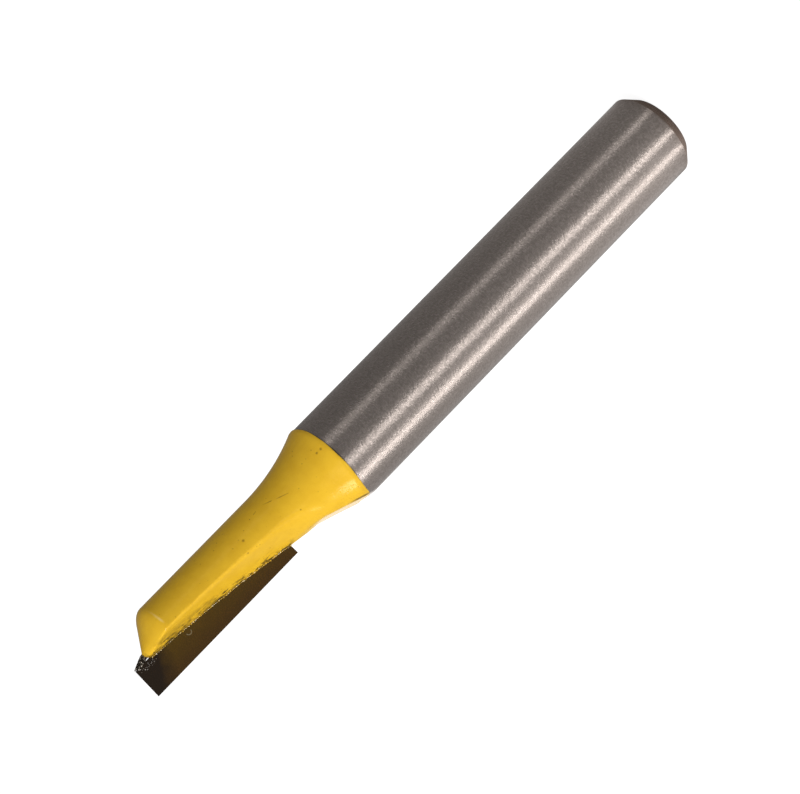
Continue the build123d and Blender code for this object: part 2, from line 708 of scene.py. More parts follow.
    def section(self, z: np.ndarray, turn: np.ndarray, coat: np.ndarray | float) -> np.ndarray:
        """Points of the bar's surface, before the slot is cut.

        Args:
            z: heights, one per ring or one per point of each ring.
            turn: angles round the ring's eye point, one per point.
            coat: how far the form is grown, one number or one per ring.

        Returns:
            An array of rings of points.
        """
        z = z if z.ndim == 2 else z[:, None]
        coat = np.asarray(coat, dtype=float)
        coat = np.broadcast_to(coat[:, None] if coat.ndim == 1 else coat, z.shape)
        radius = self.turned_radius(z, coat)
        spokes = self.spokes(radius, turn)
        to_round = spokes.to_circle(radius)
        to_flat = spokes.to_wall(self.side_offset(z, coat) + spokes.eye_x, -spokes.toward_x)
        ledge = coat * np.clip((self.runout_height - z) / 0.1, 0.0, 1.0)
        to_ledge = spokes.to_wall(spokes.eye_y + ledge, -spokes.toward_y)
        lean = np.minimum(self.lean_at_tip + self.lean_growth * (self.tip_height - z), self.lean_at_runout)
        room = self.root_offset(z, coat) + spokes.eye_x + spokes.eye_y * lean
        to_wall = spokes.to_wall(room, -(spokes.toward_x + spokes.toward_y * lean))
        to_gullet = soft_max(to_ledge, to_wall, self.foot_round)
        to_side = soft_min(to_round, to_flat, self.foot_round)
        reach = soft_min(to_side, to_gullet, self.edge_rounding(z))
        reach = np.where(radius < 0.05, to_round, np.maximum(reach, 0.0))
        return spokes.points(reach, z)


@dataclass(frozen=True)
class Slotting:
    """The blade's slot, with the round run-out that its cutter leaves. Sizes in millimetres."""

    blade_inner: float
    blade_back: float
    heel_height: float
    gap: float = 0.04
    cutter_radius: float = 2.4
    far: float = 6.0
    steps: int = 24

    @property
    def inner(self) -> float:
        """How far the slot's inner wall stands off the axis, towards -X."""
        return self.blade_inner - self.gap

    @property
    def back(self) -> float:
        """How far the slot's back wall stands behind the rake face."""
        return self.blade_back + self.gap

    @property
    def top(self) -> float:
        """A height clear above the tip."""
        return self.heel_height + 20.0

    def cutter(self, coat: float) -> bpy.types.Object:
        """The slot's cutter.

        Args:
            coat: how far it is held off the run-out's walls.

        Returns:
            The solid that cuts the slot.
        """
        middle = -self.inner - self.cutter_radius
        radius = self.cutter_radius - coat
        outline = [
            (middle + radius * math.cos(angle), self.heel_height - radius * math.sin(angle))
            for angle in np.linspace(0.0, math.pi / 2, self.steps)
        ]
        outline += [(-self.far, self.heel_height - radius), (-self.far, self.top), (-self.inner, self.top)]
        if coat:
            outline.append((-self.inner, self.heel_height))
        return prism("slot_cutter", outline, -self.gap, self.back)

    def seat(self) -> bpy.types.Object:
        """The block that the blade and its braze fill.

        Returns:
            The solid.
        """
        low, top = self.heel_height, self.top
        outline = [(-self.inner, low), (-self.inner, top), (-self.far, top), (-self.far, low)]
        return prism("seat", outline, -self.gap, self.back)


@dataclass(frozen=True)
class Bar:
    """The steel bar: ground shank with a chamfered end, and the milled body under the paint."""

    form: BarForm
    slotting: Slotting
    chamfer_length: float = 0.8
    chamfer_depth: float = 0.73
    edge: float = 0.035
    around: int = 240
    milled_rows: int = 130
    shank_rows: int = 24

    def heights_and_radii(self) -> tuple[np.ndarray, np.ndarray]:
        """Rings of the shank, from the middle of its end face to just below the shoulder.

        Returns:
            The rings' heights and radii, with close rings at both edges of the chamfer.
        """
        inner, outer = self.form.shank_radius - self.chamfer_depth, self.form.shank_radius
        up, out = self.edge * self.chamfer_length, self.edge * self.chamfer_depth
        rows = [(0.0, share * inner) for share in (0.05, 0.35, 0.65, 0.9)]
        rows += [(0.0, inner - self.edge), (0.25 * up, inner - 0.1 * self.edge), (up, inner + out)]
        rows += [(self.chamfer_length - up, outer - out), (self.chamfer_length, outer - 0.1 * self.edge)]
        rows += [(self.chamfer_length + self.edge, outer)]
        plain = np.linspace(self.chamfer_length + 1, self.form.shank_length - 1.5, self.shank_rows)
        rows += [(z, outer) for z in plain]
        heights, radii = zip(*rows)
        return np.array(heights), np.array(radii)

    def solid(self) -> bpy.types.Object:
        """The whole bar with its slot.

        Returns:
            The solid.
        """
        bar = self.blank()
        combined(bar, self.slotting.cutter(0.0), Combine.CUT)
        return bar

    def blank(self) -> bpy.types.Object:
        """The whole bar before its slot is cut.

        Returns:
            The solid.
        """
        turn = np.linspace(0, 2 * math.pi, self.around, endpoint=False)
        shank = self.form.round_section(*self.heights_and_radii(), turn)
        milled = np.linspace(self.form.shank_length - 1.2, self.form.apex_height - 0.004, self.milled_rows)
        body = self.form.section(milled, turn, 0.0)
        return ring_solid("steel_bar", np.concatenate([shank, body]))

    def build(self, material: bpy.types.Material) -> bpy.types.Object:
        """Builds and dresses the bar.

        Args:
            material: the ground steel.

        Returns:
            The bar.
        """
        bar = self.solid()
        dress(bar, material, Node.BAR)
        return bar


@dataclass(frozen=True)
class Enamel:
    """The paint over neck, body and nose, with a rounded lip that sags onto the shank below the ramp."""

    form: BarForm
    slotting: Slotting
    lip_height: float
    thickness: float = 0.05
    lip_roll: float = 0.05
    lip_fade: float = 1.2
    sag: float = 0.34
    sag_turn: float = math.radians(207)
    sag_width: float = 0.26
    waves: tuple[tuple[int, float], ...] = ((5, 0.02), (13, 0.01))
    around: int = 288
    rows: int = 190

    def sagging(self, turn: np.ndarray) -> np.ndarray:
        """How far the lip hangs below its height.

        Args:
            turn: angles round the bar.

        Returns:
            The sag at each angle.
        """
        sag = np.exp(-(((turn - self.sag_turn) / self.sag_width) ** 2)) * self.sag
        for count, height in self.waves:
            sag = sag + height * np.sin(count * turn)
        return sag

    def solid(self) -> bpy.types.Object:
        """The painted form, filled.

        Returns:
            The solid.
        """
        turn = np.linspace(0, 2 * math.pi, self.around, endpoint=False)
        rolled = self.lip_height + self.lip_roll * np.array([0.0, 0.15, 0.4, 0.7, 1.0])
        apex = self.form.apex_height + self.thickness / math.cos(self.form.nose_angle)
        heights = np.concatenate([rolled, np.linspace(rolled[-1] + 0.05, apex - 0.004, self.rows)])
        short = np.clip(1 - (heights - self.lip_height) / self.lip_roll, 0.0, 1.0)
        coat = self.thickness * np.sqrt(1 - 0.92 * short**2)
        hanging = 1 - np.clip((heights - self.lip_height) / self.lip_fade, 0.0, 1.0)
        wavy = heights[:, None] - hanging[:, None] * self.sagging(turn)[None, :]
        return ring_solid("enamel_coat", self.form.section(wavy, turn, coat))

    def build(self, material: bpy.types.Material, bar: Bar) -> bpy.types.Object:
        """Builds and dresses the paint.

        Args:
            material: the enamel.
            bar: the steel bar under it.

        Returns:
            The paint.
        """
        paint = self.solid()
        combined(paint, self.slotting.cutter(self.thickness), Combine.CUT)
        combined(paint, bar.solid(), Combine.CUT)
        dress(paint, material, Node.COAT)
        return paint


@dataclass(frozen=True)
class Blade:
    """The carbide plate, ground with side and end relief, with honed edges."""

    low: np.ndarray
    high: np.ndarray
    side_relief: float = math.radians(18)
    end_relief: float = math.radians(20)
    dish: float = math.radians(2.2)
    hone: float = 0.012

    def top_height(self, x: float, y: float) -> float:
        """Height of the relieved end face at a point."""
        return self.high[2] - (x - self.low[0]) * math.tan(self.dish) - y * math.tan(self.end_relief)

    def solid(self) -> bpy.types.Object:
        """The plate with sharp edges.

        Returns:
            The solid.
        """
        thickness = self.high[1]
        relieved = self.low[0] + thickness * math.tan(self.side_relief)
        section = [(self.low[0], 0.0), (self.high[0], 0.0), (self.high[0], thickness), (relieved, thickness)]
        points = [(x, y, self.low[2]) for x, y in section]
        points += [(x, y, self.top_height(x, y)) for x, y in section]
        faces = [(3, 2, 1, 0), (4, 5, 6, 7)]
        faces += [(k, (k + 1) % 4, 4 + (k + 1) % 4, 4 + k) for k in range(4)]
        plate = mesh_object("carbide_plate", np.array(points), faces)
        face_outwards(plate)
        return plate

    def build(self, material: bpy.types.Material) -> bpy.types.Object:
        """Builds and dresses the plate.

        Args:
            material: the carbide.

        Returns:
            The plate.
        """
        plate = self.solid()
        hone = plate.modifiers.new("hone", "BEVEL")
        hone.width = self.hone
        hone.segments = 2
        hone.limit_method = "NONE"
        baked(plate)
        dress(plate, material, Node.BLADE, crease=12.0)
        return plate


def bead_tree() -> bpy.types.NodeTree:
    """A Geometry Nodes tree that turns a line into a ragged bead with crumbs beside it.

    Returns:
        The tree, with the bead's sizes as named inputs.
    """
    group = bpy.data.node_groups.new("ragged_bead", "GeometryNodeTree")
    inputs = {"Geometry": "Geometry", "Radius": "Float", "Raggedness": "Float", "Crumbs": "Int"}
    inputs |= {"Crumb Size": "Float", "Spread": "Float", "Seed": "Int", "Material": "Material"}
    for name, kind in inputs.items():
        group.interface.new_socket(name, in_out="INPUT", socket_type=f"NodeSocket{kind}")
    group.interface.new_socket("Geometry", in_out="OUTPUT", socket_type="NodeSocketGeometry")
    tree = Tree(group)
    given = tree.outputs(tree.add("NodeGroupInput", {}))
    line, radius, raggedness, crumbs, crumb_size, spread, seed, material = given[: len(inputs)]

    curve = tree.add("GeometryNodeMeshToCurve", {}, Mesh=line)
    dense = tree.add("GeometryNodeResampleCurve", {}, Curve=curve, Count=520)
    wander = tree.add("ShaderNodeTexNoise", {"noise_dimensions": "3D"}, Scale=6.0, Detail=3.0, Roughness=0.7)
    swell = ((wander - 0.36) * raggedness).clamped() * 4.5
    profile = tree.add("GeometryNodeCurvePrimitiveCircle", {"mode": "RADIUS"}, Resolution=8, Radius=radius)
    tube = tree.add(
        "GeometryNodeCurveToMesh", {}, Curve=dense, Profile_Curve=profile, Scale=swell, Fill_Caps=True
    )

    spots = tree.add("GeometryNodeCurveToPoints", {"mode": "COUNT"}, Curve=curve, Count=crumbs)
    least = tree.add("ShaderNodeCombineXYZ", {}, spread * -1.0, -0.02, spread * -1.0)
    most = tree.add("ShaderNodeCombineXYZ", {}, spread, 0.0, spread)
    vectors = {"data_type": "FLOAT_VECTOR"}
    shift = tree.add("FunctionNodeRandomValue", vectors, Min=least, Max=most, Seed=seed)
    placed = tree.add("GeometryNodeSetPosition", {}, Geometry=spots, Offset=shift)
    share = tree.add("FunctionNodeRandomValue", {"data_type": "FLOAT"}, Min=0.15, Max=1.0, Seed=seed, out=1)
    size = tree.maths("POWER", share, 1.6) * crumb_size
    turn = tree.add("FunctionNodeRandomValue", vectors, Min=(0.0, 0.0, 0.0), Max=(6.3, 6.3, 6.3), Seed=3)
    crumb = tree.add("GeometryNodeMeshIcoSphere", {}, Radius=1.0, Subdivisions=2)
    scattered = tree.add(
        "GeometryNodeInstanceOnPoints", {}, Points=placed, Instance=crumb, Rotation=turn, Scale=size
    )
    solid = tree.add("GeometryNodeRealizeInstances", {}, Geometry=scattered)
    dressed = tree.add("GeometryNodeSetMaterial", {}, Geometry=tree.joined(solid, tube), Material=material)
    tree.add("NodeGroupOutput", {}, dressed)
    return group


@dataclass(frozen=True)
class Bead:
    """A ragged bead along a line, with crumbs beside it. Sizes in millimetres."""

    name: str
    radius: float
    crumbs: int
    crumb_size: float
    spread: float
    seed: int
    raggedness: float = 1.0

    def solid(
        self, points: np.ndarray, tree: bpy.types.NodeTree, material: bpy.types.Material
    ) -> bpy.types.Object:
        """Runs the bead's tree along a line.

        Args:
            points: the line's points.
            tree: the node tree that makes the bead.
            material: what it is made of.

        Returns:
            The bead, in millimetres.
        """
        edges = [(step, step + 1) for step in range(len(points) - 1)]
        line = mesh_object(self.name, points, [], edges)
        ragged = line.modifiers.new("bead", "NODES")
        ragged.node_group = tree
        sizes = {"Radius": self.radius, "Raggedness": self.raggedness, "Crumbs": self.crumbs}
        sizes |= {"Crumb Size": self.crumb_size, "Spread": self.spread, "Seed": self.seed}
        sizes["Material"] = material
        for item in tree.interface.items_tree:
            if item.in_out == "INPUT" and item.name in sizes:
                ragged[item.identifier] = sizes[item.name]
        baked(line)
        return line


@dataclass(frozen=True)
class BrazeFinish:
    """Dull braze, darkened by flux in places and bare in others."""

    name: str
    dark: Colour = (0.035, 0.026, 0.017)
    bare: Colour = (0.62, 0.55, 0.46)
    bare_share: float = 0.45
    metallic: float = 0.8

    def material(self) -> bpy.types.Material:
        """Builds the material.

        Returns:
            The material.
        """
        material = bpy.data.materials.new(self.name)
        shader = Shader(material)
        point = shader.object_point()
        start = 0.66 - 0.3 * self.bare_share
        patch = shader.ramp(shader.noise(point, 8000.0, 4.0, 0.65), (start, 0.0), (start + 0.06, 1.0))
        shader.principled(
            Base_Color=shader.mixed(patch, self.dark, self.bare),
            Metallic=self.metallic,
            Roughness=0.5 - patch * 0.15,
            Normal=shader.bump(shader.noise(point, 12000.0, 4.0, 0.7), 0.00003, 0.8),
        )
        return material


@dataclass(frozen=True)
class Braze:
    """Braze round the seated blade, a lump at the nose, and a bead and crumbs along the painted edge.

    The heights of the lump's and the spatter's ends are measured from the tip. A ripple of the lump is a wave
    along each axis, a phase and a height.
    """

    form: BarForm
    slotting: Slotting
    blade: Blade
    paint_thickness: float
    blade_proud: float = 0.004
    seam_out: float = 0.005
    seam_front: float = 0.035
    lump_top: Place = (-0.30, 0.02, -0.18)
    lump_foot: Place = (0.10, 0.05, -1.7)
    lump_width: float = 0.2
    ripples: tuple[tuple[Place, float, float], ...] = (
        ((9, 0, 5), 0.0, 0.10),
        ((0, 13, -11), 1.0, 0.07),
        ((17, 0, 23), 0.0, 0.05),
    )
    spatter_start: Place = (-0.42, -0.02, -0.3)
    spatter_end: Place = (-0.62, -0.02, -1.6)
    spatter_bow: float = 0.12
    seam: Bead = Bead("braze_bead", radius=0.014, crumbs=64, crumb_size=0.06, spread=0.045, seed=7)
    spatter: Bead = Bead("braze_spatter", radius=0.004, crumbs=46, crumb_size=0.04, spread=0.17, seed=4)
    film_finish: BrazeFinish = BrazeFinish(
        "painted_braze", dark=(0.07, 0.045, 0.015), bare=(0.66, 0.4, 0.035), bare_share=0.72, metallic=0.0
    )
    lump_finish: BrazeFinish = BrazeFinish("dull_braze")
    seam_finish: BrazeFinish = BrazeFinish(
        "bare_braze", dark=(0.72, 0.44, 0.04), bare=(0.95, 0.86, 0.62), bare_share=0.5, metallic=0.0
    )
    spatter_finish: BrazeFinish = BrazeFinish(
        "silver_braze", dark=(0.25, 0.21, 0.17), bare=(0.9, 0.86, 0.8), bare_share=0.6
    )

    def from_tip(self, place: Place) -> Vector:
        """A place whose height is measured from the tip."""
        return Vector((place[0], place[1], self.form.tip_height + place[2]))

    def film(self, bar: Bar) -> bpy.types.Object:
        """The film between the slot and the blade, out to the painted wall's foot.

        Args:
            bar: the steel bar that the film stays inside.

        Returns:
            The film.
        """
        film = self.slotting.seat()
        combined(film, bar.blank(), Combine.OVERLAP)
        plate = self.blade.solid()
        plate.data.transform(Matrix.Translation((0.0, -self.blade_proud, 0.0)))
        combined(film, plate, Combine.CUT)
        film.name = "braze_film"
        return film

    def lump(self) -> bpy.types.Object:
        """The lumpy crown of braze that fills the corner between the nose and the blade.

        Returns:
            The lump.
        """
        shape = bmesh.new()
        bmesh.ops.create_icosphere(shape, subdivisions=5, radius=1.0)
        top, foot = self.from_tip(self.lump_top), self.from_tip(self.lump_foot)
        axis = (top - foot) / 2
        turn = Vector((0, 0, 1)).rotation_difference(axis).to_matrix()
        for vertex in shape.verts:
            way = vertex.co.normalized()
            swell = 1.0
            for wave, phase, height in self.ripples:
                swell += height * math.sin(way.dot(Vector(wave)) + phase)
            local = Vector((way.x * self.lump_width, way.y * self.lump_width, way.z * axis.length))
            vertex.co = (top + foot) / 2 + turn @ (local * swell)
        mesh = bpy.data.meshes.new("braze_lump")
        shape.to_mesh(mesh)
        shape.free()
        return linked_object("braze_lump", mesh)

    def seam_points(self) -> np.ndarray:
        """The painted wall's foot, from heel to nose.

        Returns:
            Its points.
        """
        heights = np.linspace(self.form.heel_height + 0.05, self.form.apex_height - 0.35, 60)
        feet = self.form.root_offset(heights, self.paint_thickness)
        return np.stack([-feet - self.seam_out, np.full_like(feet, -self.seam_front), heights], axis=-1)

    def spatter_points(self) -> np.ndarray:
        """A short bowed line over the blade's inner corner, where braze has spattered.

        Returns:
            Its points.
        """
        share = np.linspace(0.0, 1.0, 12)
        start, end = np.array(self.from_tip(self.spatter_start)), np.array(self.from_tip(self.spatter_end))
        points = start + (end - start) * share[:, None]
        points[:, 0] -= self.spatter_bow * np.sin(share * math.pi)
        return points

    def build(self, bar: Bar) -> list[bpy.types.Object]:
        """Builds and dresses the braze.

        Args:
            bar: the steel bar that it sits in.

        Returns:
            Its pieces.
        """
        tree = bead_tree()
        seam, spatter = self.seam_finish.material(), self.spatter_finish.material()
        pieces = [
            (self.film(bar), self.film_finish.material()),
            (self.lump(), self.lump_finish.material()),
            (self.seam.solid(self.seam_points(), tree, seam), seam),
            (self.spatter.solid(self.spatter_points(), tree, spatter), spatter),
        ]
        for piece, material in pieces:
            dress(piece, material, Node.BRAZE)
        return [piece for piece, _ in pieces]


@dataclass(frozen=True)
class SteelFinish:
    """Ground steel with fine marks that run round the bar, and painted shade just under the paint's lip."""

    colour: Colour = (0.67, 0.578, 0.528)
    worn: Colour = (0.53, 0.455, 0.412)
    # Colour of the painted shade under the paint's lip.
    grime_and_shade: Colour = (0.08, 0.055, 0.02)
    roughness: float = 0.29
    mark_pitch: float = 0.00011
    seam_height: float = 32.58

    def material(self) -> bpy.types.Material:
        """Builds the material.

        Returns:
            The material.
        """
        material = bpy.data.materials.new("ground_steel")
        shader = Shader(material)
        point = shader.object_point()
        marks = shader.noise(shader.stretched(point, (0.35, 0.35, 1.0)), 1 / self.mark_pitch, 3.0, 0.6)
        fine = shader.noise(shader.stretched(point, (0.1, 0.1, 1.0)), 4 / self.mark_pitch, 2.0, 0.6)
        grain = shader.noise(point, 5600.0, 2.0, 0.7)
        _, _, z = shader.parts(point)
        # Painted shade: the steel darkens towards the paint's lip, as though the lip shaded it.
        seam = shader.past(z + (marks - 0.5) * 0.06, self.seam_height - 0.09, 0.07) * 0.75
        bare = shader.mixed(shader.ramp(grain, (0.38, 0.0), (0.62, 1.0)), self.colour, self.worn)
        shader.principled(
            Base_Color=shader.mixed(seam, bare, self.grime_and_shade),
            Metallic=1.0,
            Roughness=self.roughness + (marks - 0.5) * 0.1 + (grain - 0.5) * 0.17,
            Anisotropic=0.92,
            Anisotropic_Rotation=0.25,
            Normal=shader.bump(marks * 0.8 + fine * 0.2, 0.000024),
        )
        return material


@dataclass(frozen=True)
class EnamelFinish:
    """Satin yellow enamel with specks, scratches and a bubble, smudged along the gullet wall's foot.

    A speck is a place and a radius, a scratch is a start and an end, all in millimetres.
    """

    form: BarForm
    colour: Colour = (0.80, 0.48, 0.026)
    deep: Colour = (0.76, 0.445, 0.022)
    # Colour of the painted highlight along the nose's edge.
    edge_highlight: Colour = (1.0, 0.74, 0.26)
    stain: Colour = (0.27, 0.14, 0.012)
    dirt: Colour = (0.08, 0.046, 0.006)
    roughness: float = 0.22
    specks: tuple[tuple[float, float, float, float], ...] = (
        (1.10, -2.79, 33.38, 0.075),
        (1.10, -2.92, 33.04, 0.075),
        (-0.65, -2.22, 36.55, 0.06),
        (-0.21, -2.2, 40.9, 0.07),
        (0.57, -2.14, 40.55, 0.085),
        (1.2, -1.86, 39.2, 0.03),
        (1.45, -1.7, 43.4, 0.03),
    )
    scratches: tuple[tuple[Place, Place], ...] = (
        ((0.92, -2.08, 37.1), (0.62, -2.21, 36.35)),
        ((1.27, -1.86, 37.9), (1.05, -1.97, 37.4)),
        ((1.25, -1.85, 38.8), (1.3, -1.83, 38.55)),
    )
    bubble: Place = (0.26, -2.5, 35.2)
    bubble_radius: float = 0.11

    def foot_dirt(self, shader: Shader, point: Value, grime_and_shade: Value) -> Value:
        """Dirt along the gullet wall's foot: a dark edge, smudges and blotches.

        Args:
            shader: the tree that takes the nodes.
            point: the shaded point.
            grime_and_shade: fine noise that makes its edges ragged.

        Returns:
            How dirty the paint is.
        """
        x, y, z = shader.parts(point)
        foot = x + self.form.wall_offset(self.form.tip_height - z)
        patchy = shader.noise(shader.stretched(point, (1.0, 1.0, 0.3)), 900.0, 1.0, 0.5)
        worn = shader.past(z, self.form.heel_height + 5.0, 1.5) * 0.10
        streaky = shader.ramp(grime_and_shade * 0.6 + patchy * 0.5 + worn, (0.56, 0.0), (0.64, 1.0))
        spotty = shader.noise(shader.stretched(point, (1.0, 1.0, 0.4)), 2300.0, 3.0, 0.6)
        blotch = shader.near(foot, 0.1, 0.14) * shader.ramp(spotty, (0.52, 0.0), (0.58, 1.0))
        smudge = shader.near(foot, 0.14, 0.35) * streaky
        edge = shader.near(foot + (grime_and_shade - 0.5) * 0.9, -0.06, 0.08)
        beside_blade = shader.past(z, self.form.heel_height - 0.4, 0.6) * shader.near(y, 0.0, 0.1)
        return (edge * 0.7 + smudge * 0.7 + blotch * 0.8) * beside_blade

    def ramp_line(self, shader: Shader, point: Value, grime_and_shade: Value) -> Value:
        """A dark line on the ridge between the clearance ramp and the neck's front.

        Args:
            shader: the tree that takes the nodes.
            point: the shaded point.
            grime_and_shade: fine noise that makes its edges ragged.

        Returns:
            How dark the line makes the paint.
        """
        x, y, z = shader.parts(point)
        ramp = (self.form.runout_height - z) * math.tan(self.form.ramp_angle)
        off_ridge = abs(x + self.form.flat_offset + ramp)
        front = shader.near(y, -1.2, 0.06) * shader.near(z, self.form.shank_length + 0.43, 0.7)
        return shader.near(off_ridge + (grime_and_shade - 0.5) * 0.05, 0.02, 0.05) * front * 0.75

    def stains(self, shader: Shader, point: Value, grime_and_shade: Value) -> Value:
        """Scattered dots, specks and scratches.

        Args:
            shader: the tree that takes the nodes.
            point: the shaded point.
            grime_and_shade: fine noise that makes their edges ragged.

        Returns:
            How stained the paint is.
        """
        stains = shader.near(shader.cells(point, 1700.0), 0.045, 0.06) * 0.5
        for *place, radius in self.specks:
            off_speck = shader.distance(point, place) + (grime_and_shade - 0.5) * 0.1
            stains = stains + shader.near(off_speck, radius * 0.5, radius) * 0.75
        for start, end in self.scratches:
            off_scratch = shader.off_line(point, start, end) + (grime_and_shade - 0.5) * 0.06
            stains = stains + shader.near(off_scratch, 0.0, 0.045) * 0.9
        return stains

    def painted_edge_highlight(self, shader: Shader, point: Value, tone: Value) -> Value:
        """A painted highlight: a lighter line along the nose's edge, on its front.

        Args:
            shader: the tree that takes the nodes.
            point: the shaded point.
            tone: broad noise that lets the line wander.

        Returns:
            How strong the painted highlight is.
        """
        x, y, z = shader.parts(point)
        off_edge = abs(z - self.form.nose_edge_height + 0.28)
        front = shader.past(x, 0.45, 0.35) * shader.near(x, 0.9, 1.0) * shader.near(y, -1.1, 0.5)
        return shader.near(off_edge + (tone - 0.5) * 0.14, 0.0, 0.1) * front * 0.6

    def material(self) -> bpy.types.Material:
        """Builds the material.

        Returns:
            The material.
        """
        material = bpy.data.materials.new("yellow_enamel")
        shader = Shader(material)
        point = shader.object_point()
        grime_and_shade = shader.noise(shader.stretched(point, (1.0, 1.0, 0.45)), 4200.0, 4.0, 0.65)
        tone = shader.noise(point, 1200.0, 3.0, 0.6)
        peel = shader.noise(point, 2600.0, 3.0, 0.55)
        # Dirt along the wall's foot, and the dark line on the ramp's ridge.
        dirt = self.foot_dirt(shader, point, grime_and_shade) + self.ramp_line(shader, point, grime_and_shade)
        stains = self.stains(shader, point, grime_and_shade)
        clean = shader.mixed(shader.ramp(tone, (0.35, 0.0), (0.65, 1.0)), self.colour, self.deep)
        # Painted highlight along the nose's edge.
        clean = shader.mixed(self.painted_edge_highlight(shader, point, tone), clean, self.edge_highlight)
        stained = shader.mixed(stains.clamped(), clean, self.stain)
        off_ring = abs(shader.distance(point, self.bubble) - self.bubble_radius)
        height = peel + shader.near(off_ring, 0.0, 0.05) * 0.4 - (dirt + stains).clamped() * 0.4
        shader.principled(
            Base_Color=shader.mixed(dirt.clamped(), stained, self.dirt),
            Roughness=self.roughness + dirt.clamped() * 0.3,
            Specular_IOR_Level=0.35,
            Specular_Tint=(1.0, 0.88, 0.6),
            Normal=shader.bump(height, 0.000024, 0.6),
        )
        return material


@dataclass(frozen=True)
class CarbideFinish:
    """Dark brown polished carbide with a curled fibre stuck on it, and painted reflections: darker towards
    its tip, and olive on its inner side, where the yellow wall is reflected.
    """

    brown: Colour = (0.2, 0.108, 0.036)
    olive_reflection: Colour = (0.28, 0.163, 0.03)
    dark: Colour = (0.075, 0.052, 0.036)
    fibre: Colour = (0.8, 0.65, 0.4)
    curl: Place = (-0.93, 0.0, 46.56)
    curl_radius: float = 0.19
    # Height where the painted dark reflection at the tip sets in.
    tip_reflection_height: float = 47.6
    roughness: float = 0.24

    def material(self) -> bpy.types.Material:
        """Builds the material.

        Returns:
            The material.
        """
        material = bpy.data.materials.new("dark_carbide")
        shader = Shader(material)
        point = shader.object_point()
        x, _, z = shader.parts(point)
        mottle = shader.noise(point, 1100.0, 3.0, 0.6)
        lines = shader.noise(shader.stretched(point, (1.0, 1.0, 0.12)), 9000.0, 3.0, 0.6)
        # Painted reflections: darker towards the tip, and olive towards the inner side, standing in for the
        # yellow wall's reflection.
        tip = shader.past(z + x * 0.5 + (mottle - 0.5) * 1.6, self.tip_reflection_height, 1.3)
        wall_reflection = shader.past(x + (mottle - 0.5) * 1.2, -2.2, 1.4)
        plate = shader.mixed(tip, shader.mixed(wall_reflection * 0.8, self.brown, self.olive_reflection), self.dark)
        off_ring = abs(shader.distance(point, self.curl) - self.curl_radius)
        hook = shader.near(off_ring, 0.014, 0.03) * shader.near(x, self.curl[0] - 0.03, 0.05)
        shader.principled(
            Base_Color=shader.mixed(hook * 0.7, plate, self.fibre),
            Metallic=0.9,
            Roughness=self.roughness + (lines - 0.5) * 0.1,
            Normal=shader.bump(lines, 0.000003, 0.5),
        )
        return material


@dataclass(frozen=True)
class Lamp:
    """An upright rectangular lamp that faces the object. Sizes in millimetres, power in watts.

    Its side is its direction from the axis in degrees, from the front (-Y) towards -X.
    """

    name: str
    side: float
    height: float
    away: float
    size: tuple[float, float]
    power: float
    mirrored: bool = True
    aim_height: float = 28.0

    def build(self) -> None:
        """Hangs the lamp."""
        data = bpy.data.lights.new(self.name, "AREA")
        data.shape = "RECTANGLE"
        data.size, data.size_y = self.size[0] * MM, self.size[1] * MM
        data.energy = self.power
        lamp = bpy.data.objects.new(self.name, data)
        angle = math.radians(self.side)
        place = Vector((-math.sin(angle) * self.away, -math.cos(angle) * self.away, self.height)) * MM
        turn = (place - Vector((0.0, 0.0, self.aim_height)) * MM).to_track_quat("Z", "Y")
        lamp.matrix_world = Matrix.Translation(place) @ turn.to_matrix().to_4x4()
        lamp.visible_glossy = self.mirrored
        bpy.context.scene.collection.objects.link(lamp)


